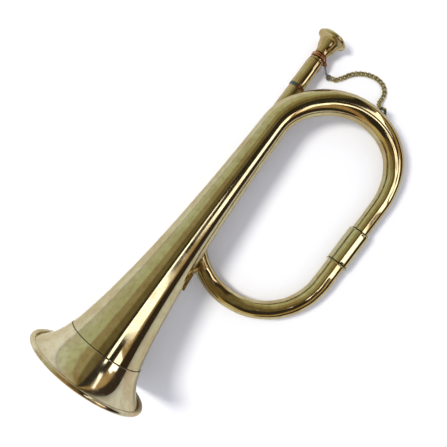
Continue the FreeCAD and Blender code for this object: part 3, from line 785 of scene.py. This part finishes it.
def make_receiver():
    """Sleeve that takes the mouthpiece, with its soldered ring."""
    start, end = RECEIVER_X
    spigot_end = start + SPIGOT_LENGTH
    socket_end = end + SOCKET_DEPTH
    groove_radius = RECEIVER_RADIUS - 0.25
    outline = smooth_corners([
        (spigot_end, RECEIVER_THROAT, 0),
        (spigot_end, LEADPIPE_BORE - FIT_GAP, 0),
        (start, LEADPIPE_BORE - FIT_GAP, 0),
        (start, groove_radius, 0),
        (start - 0.5, groove_radius, 0.2),
        (start - 0.8, RECEIVER_RADIUS, 0.2),
        ((start + end) / 2, RECEIVER_RADIUS, 0),
        (end, RECEIVER_RADIUS, 1.0),
        (end, SOCKET_RADIUS, 0.3),
        (socket_end, SOCKET_RADIUS - SOCKET_DEPTH * SHANK_TAPER, 0),
        (socket_end, RECEIVER_THROAT, 0),
    ])
    piece = lathe("receiver_sleeve", outline, LEADPIPE_PLACE, BOW_BRASS, 128)
    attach(piece, "bugle")
    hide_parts("mouthpiece_receiver")
    high = start + JOINT_RING_WIDTH
    outline = smooth_corners([
        (start, LEADPIPE_RADIUS + FIT_GAP, 0),
        (start, JOINT_RING_RADIUS, 0.35),
        (high, JOINT_RING_RADIUS - 0.1, 0.9),
        (high + 0.35, LEADPIPE_RADIUS + 0.1, 0),
        (high + 0.35, LEADPIPE_RADIUS + FIT_GAP, 0),
    ])

    def wobble(x, angle):
        """Uneven edge of the solder."""
        share = (x - start) / JOINT_RING_WIDTH
        return max(0.0, share) * (0.05 * math.sin(7 * angle) - 0.05)

    piece = lathe("receiver_ring", outline, LEADPIPE_PLACE, GREY_RING, 128, 40.0,
                  wobble)
    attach(piece, "bugle")
    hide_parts("joint_ring")


# --- mouthpiece ---------------------------------------------------------
def spline_points(points, steps=8):
    """Smooth line through (x, radius) points, with steps points in each gap."""
    line = []
    count = len(points)
    for i in range(count - 1):
        p0 = Vector(points[max(i - 1, 0)])
        p1 = Vector(points[i])
        p2 = Vector(points[i + 1])
        p3 = Vector(points[min(i + 2, count - 1)])
        for k in range(steps):
            t = k / steps
            a = p1 * 2 + (p2 - p0) * t
            b = (p0 * 2 - p1 * 5 + p2 * 4 - p3) * t * t
            c = (p1 * 3 - p0 - p2 * 3 + p3) * t * t * t
            line.append(tuple((a + b + c) / 2))
    line.append(tuple(points[-1]))
    return line


def make_mouthpiece():
    """Turned mouthpiece: shank, stop bead, neck with the wire on it, cup and broad rim."""
    front = MOUTHPIECE_FRONT_X
    bead_high, bead_low = STOP_BEAD_X
    shank_depth = SHANK_END_X - RECEIVER_X[1]
    shank = [
        (SHANK_END_X, BACKBORE_RADIUS),
        (SHANK_END_X, SHANK_RADIUS - SHANK_TAPER * shank_depth),
        (RECEIVER_X[1], SHANK_RADIUS),
        (bead_high, SHANK_RADIUS),
    ]
    crown = 0.6
    bead = arc_points(((bead_low + bead_high) / 2, STOP_BEAD_RADIUS - crown),
                      (bead_high - bead_low) / 2, crown, 0, 180, 10)
    neck = [(bead_low, NECK_RADIUS), (NECK_END_X + 0.5, NECK_RADIUS)]
    # Small raised edge: only the middle corner's arc is kept.
    edge = smooth_corners([
        (NECK_END_X, NECK_RADIUS, 0.3),
        (NECK_END_X - 0.2, STEM_RADIUS + 0.15, 0.3),
        (NECK_END_X - 1.1, STEM_RADIUS + 0.15, 0.3),
    ], 3)[4:-4]
    outside = spline_points([
        (NECK_END_X - 1.3, STEM_RADIUS),
        (front + 15.0, 6.8),
        (front + 12.2, 8.3),
        (front + 9.0, 9.2),
        (front + 6.6, 10.1),
        (front + 5.0, 11.8),
        (front + 4.2, 13.2),
        (front + 3.4, 13.85),
        (front + 2.7, RIM_RADIUS),
        (front + 1.9, 13.8),
        (front + 1.2, 13.1),
        (front + 0.3, 12.2),
        (front, 11.3),
        (front + 0.05, 10.2),
        (front + 0.8, 9.0),
        (front + 2.6, 8.4),
        (front + 6.5, 7.1),
        (front + 10.2, 4.6),
        (CUP_THROAT_X, CUP_THROAT_RADIUS),
    ])
    outline = shank + bead + neck + edge + outside
    piece = lathe("mouthpiece_turned", outline, LEADPIPE_PLACE, MOUTHPIECE_BRASS,
                  160, 40.0)
    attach(piece, "mouthpiece")
    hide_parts("mouthpiece")


# --- tether -------------------------------------------------------------
def route_line(route):
    """Points, close together, of the smooth line through a route in millimetres."""
    data = bpy.data.curves.new("route", "CURVE")
    data.dimensions = "3D"
    data.resolution_u = 40
    spline = data.splines.new("NURBS")
    spline.points.add(len(route) - 1)
    for point, place in zip(spline.points, route):
        point.co = (*place, 1)
    spline.order_u = 3
    spline.use_endpoint_u = True
    holder = bpy.data.objects.new("route", data)
    mesh = bpy.data.meshes.new_from_object(holder)
    points = [vertex.co.copy() for vertex in mesh.vertices]
    bpy.data.objects.remove(holder)
    bpy.data.curves.remove(data)
    bpy.data.meshes.remove(mesh)
    return points


def line_length(points):
    """Length of a line of points."""
    return sum((b - a).length for a, b in zip(points, points[1:]))


def point_on_line(points, distance):
    """Point at a distance along a line of points; the ends run straight on."""
    for start, end in zip(points, points[1:]):
        gap = (end - start).length
        if distance <= gap or end is points[-1]:
            return start + (end - start) * (distance / gap)
        distance -= gap


CHAIN_WIRE = 0.72
CHAIN_PITCH = 3.9
CHAIN_HALF_LENGTH = CHAIN_PITCH / 2 + CHAIN_WIRE - 0.03
CHAIN_HALF_WIDTH = CHAIN_WIDTH / 2 - CHAIN_WIRE
CHAIN_TWIST = 0.65
CHAIN_CENTRE_HEIGHT = 1.45      # of the links that lie on the surface
CHAIN_LIFT_HEIGHT = 6.0         # route height above which the links are not resting


def settled(point):
    """Route point of the chain, let down so that its flat links rest on the surface."""
    rest = CHAIN_ROUTE[-1].z
    lift = min(1.0, max(0.0, (point.z - rest) / (CHAIN_LIFT_HEIGHT - rest)))
    return point - Vector((0, 0, (rest - CHAIN_CENTRE_HEIGHT) * (1 - lift)))


def link_loop(start, end, tilt=0.0, twist=CHAIN_TWIST, half_width=CHAIN_HALF_WIDTH):
    """Centre line of a curb link that reaches from start to end."""
    ahead = (end - start).normalized()
    across = ahead.cross(Vector((0, 0, 1))).normalized()
    across = Matrix.Rotation(tilt, 3, ahead) @ across
    up = across.cross(ahead)
    middle = (start + end) / 2
    half = (end - start).length / 2
    points = []
    for k in range(36):
        t = 2 * math.pi * k / 36
        points.append(middle + ahead * (half * math.cos(t)) + across * (half_width * math.sin(t))
                      + up * (twist * math.sin(2 * t)))
    return points


def make_chain():
    """Curb chain: flat twisted links along the route, each through the next."""
    line = [settled(point) for point in route_line(CHAIN_ROUTE)]
    length = line_length(line)
    count = round(length / CHAIN_PITCH)
    pitch = length / count
    reach = CHAIN_HALF_LENGTH * pitch / CHAIN_PITCH
    links = []
    for i in range(count):
        start = point_on_line(line, i * pitch)
        end = point_on_line(line, (i + 1) * pitch)
        centre = (start + end) / 2
        ahead = (end - start).normalized() * reach
        loop = link_loop(centre - ahead, centre + ahead)
        links.append(wire_sweep("chain_link", loop, CHAIN_WIRE, CHAIN_BRASS,
                                14, True))
    piece = join_pieces(links, "tether_curb_chain")
    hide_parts("tether_chain")
    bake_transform(piece)
    return line


def join_pieces(parts, name):
    """One piece made of several."""
    shape = bmesh.new()
    for part in parts:
        shape.from_mesh(part.data)
    keep = parts[0]
    shape.to_mesh(keep.data)
    shape.free()
    for part in parts[1:]:
        bpy.data.objects.remove(part)
    keep.name = name
    keep.data.name = name
    return keep


# Height above the tube and radius of each ring of a foot.
STAPLE_FOOT = ((-0.9, 2.1), (0.05, 2.1), (0.55, 1.95), (0.95, 1.6), (1.1, 1.2))
STAPLE_SINK = 1.2               # how far the ends of the wire reach into the tube


def staple_frame():
    """Point on the top bow where the staple stands, and its outward and sideways directions."""
    centre = top_bow_point(STAPLE_ANGLE)
    outward = Vector((centre.x - TOP_BEND_X, centre.y - TOP_BEND_Y, 0)).normalized()
    along = Vector((0, 0, 1)).cross(outward)
    return centre + outward * top_bow_radius(STAPLE_ANGLE), outward, along


def make_staple():
    """Dark half-loop of wire on two soldered feet."""
    surface, outward, along = staple_frame()
    points = []
    for k in range(31):
        t = math.radians(180 * k / 30)
        points.append(surface + along * (STAPLE_RADIUS * math.cos(t))
                      + outward * (STAPLE_RADIUS * math.sin(t)))
    inside = outward * STAPLE_SINK
    points = [points[0] - inside] + points + [points[-1] - inside]
    wire = wire_sweep("staple_wire", points, STAPLE_WIRE, DARK_STEEL, 20)
    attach(wire, "bugle")
    across = outward.orthogonal().normalized()
    up = outward.cross(across)
    feet = []
    for side in (-1, 1):
        base = surface + along * (side * STAPLE_RADIUS)
        rings = [(base + outward * height, across, up, reach) for height, reach in STAPLE_FOOT]
        feet.append(skin("staple_foot", rings, DARK_STEEL, 24, 50.0))
    piece = join_pieces(feet, "staple_feet")
    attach(piece, "bugle")
    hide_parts("chain_staple")


def make_end_links(line):
    """The links that tie the chain to the staple and to the eye of the wire link."""
    surface, outward, _ = staple_frame()
    top = surface + outward * STAPLE_RADIUS + Vector((0, 0, STAPLE_WIRE + CHAIN_WIRE + 0.05))
    overlap = 1.6 * CHAIN_WIRE
    loop = link_loop(top, point_on_line(line, overlap), 0.0, 0.3, 1.95)
    link = wire_sweep("staple_end_link", loop, CHAIN_WIRE, CHAIN_BRASS, 16, True)
    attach(link, "bugle")
    end = point_on_line(line, line_length(line) - overlap)
    ahead = LINK_EYE - end
    ahead.z = 0
    far = LINK_EYE - ahead.normalized() * (LINK_EYE_RADIUS - LINK_WIRE - CHAIN_WIRE)
    loop = link_loop(far, end, math.radians(38), 0.2)
    link = wire_sweep("eye_end_link", loop, CHAIN_WIRE, CHAIN_BRASS, 16, True)
    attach(link, "tether")


WOUND_WIRE = 0.60
WOUND_TURNS = 2.1
TWIST_WIRE = 0.62
TWIST_TURNS = 2.4
TWIST_RADIUS = 1.45
TWIST_START = -0.9              # along the wire link, from its first route point
TWIST_LENGTH = 3.9


def make_coil():
    """Copper wire wound a little unevenly round the neck of the mouthpiece."""
    first = COIL_X[0] + COIL_WIRE - WOUND_WIRE
    last = COIL_X[1] - COIL_WIRE + WOUND_WIRE
    axis = Vector((0, LEADPIPE_Y, LEADPIPE_Z))
    points = []
    steps = 200
    for k in range(steps + 1):
        share = k / steps
        t = 2 * math.pi * WOUND_TURNS * share + math.radians(100)
        x = first + (last - first) * share + 0.10 * math.sin(2 * t)
        reach = COIL_RADIUS - 0.25 + 0.15 * math.sin(3 * t + 1.0) + 0.25 * share
        points.append(axis + Vector((x, reach * math.sin(t), reach * math.cos(t))))
    coil = wire_sweep("copper_coil", points, WOUND_WIRE, COPPER, 16)
    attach(coil, "tether")
    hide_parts("tether_coil")


def make_coil_end():
    """End of the copper wire, twisted about the upper end of the wire link."""
    start = LINK_ROUTE[0]
    ahead = (LINK_ROUTE[1] - start).normalized()
    side = ahead.orthogonal().normalized()
    up = ahead.cross(side)
    points = []
    steps = 60
    for k in range(steps + 1):
        share = k / steps
        t = 2 * math.pi * TWIST_TURNS * share
        points.append(start + ahead * (TWIST_START + TWIST_LENGTH * share)
                      + (side * math.cos(t) + up * math.sin(t)) * TWIST_RADIUS)
    twist = wire_sweep("copper_twist", points, TWIST_WIRE, COPPER, 12)
    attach(twist, "tether")


def make_tether_link():
    """Bent steel wire from the coil down to an eye on the surface."""
    line = route_line(LINK_ROUTE)
    towards = line[-1] - LINK_EYE
    start = math.atan2(towards.y, towards.x)
    eye_turn = math.radians(335)
    for k in range(1, 33):
        t = start + eye_turn * k / 32
        line.append(LINK_EYE + Vector((math.cos(t), math.sin(t), 0)) * LINK_EYE_RADIUS)
    piece = wire_sweep("tether_wire", line, LINK_WIRE + 0.05, STEEL, 16)
    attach(piece, "tether")
    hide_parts("tether_link")


make_bell_body()
make_garland()
make_top_bow()
make_lower_bow()
make_ferrule()
make_collar()
make_seams()
make_leadpipe()
make_receiver()
make_mouthpiece()
make_staple()
make_coil()
make_coil_end()
make_tether_link()
make_end_links(make_chain())

# --- CAD nodes that stay: the braces and the wire inside the rim --------
for node_name, node in NODES.items():
    if node_name == "rim_wire" or "_brace_" in node_name:
        node.data.materials.clear()
        node.data.materials.append(STEEL if node_name == "rim_wire" else BRACE_BRASS)


# --- floor, camera and light --------------------------------------------
FLOOR_SIZE = 6.0
CAMERA_PLACE = (0.01025, -0.02075, 0.502)
CAMERA_RIGHT = Vector((-0.602, 0.799, 0))
CAMERA_UP = Vector((-0.799, -0.602, 0))
KEY_PLACE = Vector((0.24, -0.70, 1.40))
SKY_COLOUR = (0.64, 0.65, 0.73, 1)


def level_sheet(name, corners, height):
    """Flat object with the given (x, y) corners at a height, all in metres."""
    mesh = bpy.data.meshes.new(name)
    mesh.from_pydata([(x, y, height) for x, y in corners], [], [tuple(range(len(corners)))])
    return add_object(name, mesh)


def make_floor():
    """Large pale sheet that the instrument lies on."""
    half = FLOOR_SIZE / 2
    floor = level_sheet("floor", [(-half, -half), (half, -half), (half, half), (-half, half)], 0)
    material = bpy.data.materials.new("floor_white")
    material.use_nodes = True
    shader = material.node_tree.nodes["Principled BSDF"]
    shader.inputs["Base Color"].default_value = (0.92, 0.92, 0.92, 1)
    shader.inputs["Roughness"].default_value = 0.9
    floor.data.materials.append(material)


def make_camera():
    """Camera straight above the loop, turned so that the bell points to the lower left."""
    data = bpy.data.cameras.new("camera")
    data.sensor_width = 36.0
    data.lens = 44.05
    data.clip_start = 0.01
    camera = add_object("camera", data)
    axes = (CAMERA_RIGHT.normalized(), CAMERA_UP.normalized(), Vector((0, 0, 1)))
    turn = Matrix(axes).transposed().to_4x4()
    camera.matrix_world = Matrix.Translation(CAMERA_PLACE) @ turn
    bpy.context.scene.camera = camera


# The plain room round the instrument: a pale wall on the bell's side, a dim ceiling and a warm
# wall on the other side. Each part starts at an angle from straight up towards +Y, in degrees.
ROOM = [
    (-180, (0.85, 0.88, 0.74)),
    (-66, (0.76, 0.80, 0.56)),
    (-38, (0.52, 0.44, 0.25)),
    (-11, (0.25, 0.20, 0.09)),
    (11, (0.05, 0.04, 0.03)),
    (44, (0.66, 0.45, 0.22)),
    (64, (0.06, 0.04, 0.03)),
]
ROOM_EDGE = 4.0                 # half the width of the soft edge between two parts
# The wall beyond the bell's mouth starts at this angle from straight up towards +X.
BELL_END_START = 52
BELL_END_WALL = (0.90, 0.72, 0.40)


def room_colour(sums, direction):
    """Colour of the room in a direction, without its lights."""
    x, y, z = direction
    degree = 180 / math.pi
    side = sums.math("MULTIPLY", sums.math("ARCTAN2", y, z), degree)
    along = sums.math("MULTIPLY", sums.math("ARCSINE", x), degree)
    colour = ROOM[0][1]
    for start, tint in ROOM[1:]:
        colour = sums.mix(sums.ramp(side, start - ROOM_EDGE, start + ROOM_EDGE), colour, tint)
    share = sums.ramp(along, BELL_END_START - ROOM_EDGE, BELL_END_START + ROOM_EDGE)
    return sums.mix(share, colour, BELL_END_WALL)


def make_room():
    """World light: reflections see a room, and everything else sees a plain pale sky."""
    world = bpy.data.worlds.new("studio")
    bpy.context.scene.world = world
    world.use_nodes = True
    tree = world.node_tree
    sums = Sums(tree)
    coordinates = tree.nodes.new("ShaderNodeTexCoord")
    parts = tree.nodes.new("ShaderNodeSeparateXYZ")
    tree.links.new(coordinates.outputs["Generated"], parts.inputs[0])
    room = tree.nodes["Background"]
    tree.links.new(room_colour(sums, parts.outputs), room.inputs["Color"])
    sky = tree.nodes.new("ShaderNodeBackground")
    sky.inputs["Color"].default_value = SKY_COLOUR
    path = tree.nodes.new("ShaderNodeLightPath")
    choice = tree.nodes.new("ShaderNodeMixShader")
    tree.links.new(path.outputs["Is Glossy Ray"], choice.inputs[0])
    tree.links.new(sky.outputs[0], choice.inputs[1])
    tree.links.new(room.outputs[0], choice.inputs[2])
    tree.links.new(choice.outputs[0], tree.nodes["World Output"].inputs["Surface"])


LOW = 0.8
HIGH = 3.0
# Pale soft boxes above the instrument, seen only in reflections: height and corners in metres.
CARDS = {
    "card_line": (LOW, [(0.02, 0.22), (0.02, 0.36), (-0.24, 0.36), (-0.24, 0.26)]),
    "card_strip": (LOW, [(-0.50, 0.40), (-0.50, 0.56), (-3.00, 1.20), (-3.00, 1.02)]),
    "card_window": (HIGH, [(-0.88, 2.85), (-1.25, 5.10), (-1.45, 6.00), (-2.50, 6.00),
                           (-2.10, 4.30), (-2.45, 4.10), (-2.00, 2.85)]),
    "card_leg": (HIGH, [(-0.10, 1.20), (-0.10, 4.60), (-0.80, 4.60), (-0.62, 1.20)]),
}
CARD_LIGHT = (3.1, 3.0, 3.1)


def make_card(name, height, corners):
    """Flat glowing card that only glossy rays see."""
    card = level_sheet(name, corners, height)
    material = bpy.data.materials.new(name)
    material.use_nodes = True
    nodes = material.node_tree.nodes
    nodes.remove(nodes["Principled BSDF"])
    glow = nodes.new("ShaderNodeEmission")
    glow.inputs["Color"].default_value = (*CARD_LIGHT, 1)
    material.node_tree.links.new(glow.outputs[0], nodes["Material Output"].inputs["Surface"])
    card.data.materials.append(material)
    card.visible_camera = False
    card.visible_diffuse = False
    card.visible_transmission = False
    card.visible_volume_scatter = False
    card.visible_shadow = False


def make_lights():
    """One soft key light from the bell's side, and the cards that the brass mirrors."""
    data = bpy.data.lights.new("key", "AREA")
    data.shape = "DISK"
    data.size = 0.4
    data.energy = 17.0
    data.color = (1.0, 0.985, 0.95)
    key = add_object("key", data)
    key.location = KEY_PLACE
    key.rotation_euler = (-KEY_PLACE).to_track_quat("-Z", "Y").to_euler()
    key.visible_glossy = False
    for name, (height, corners) in CARDS.items():
        make_card(name, height, corners)


make_floor()
make_camera()
make_room()
make_lights()
bpy.context.scene.view_settings.view_transform = "Standard"

bpy.context.view_layer.update()
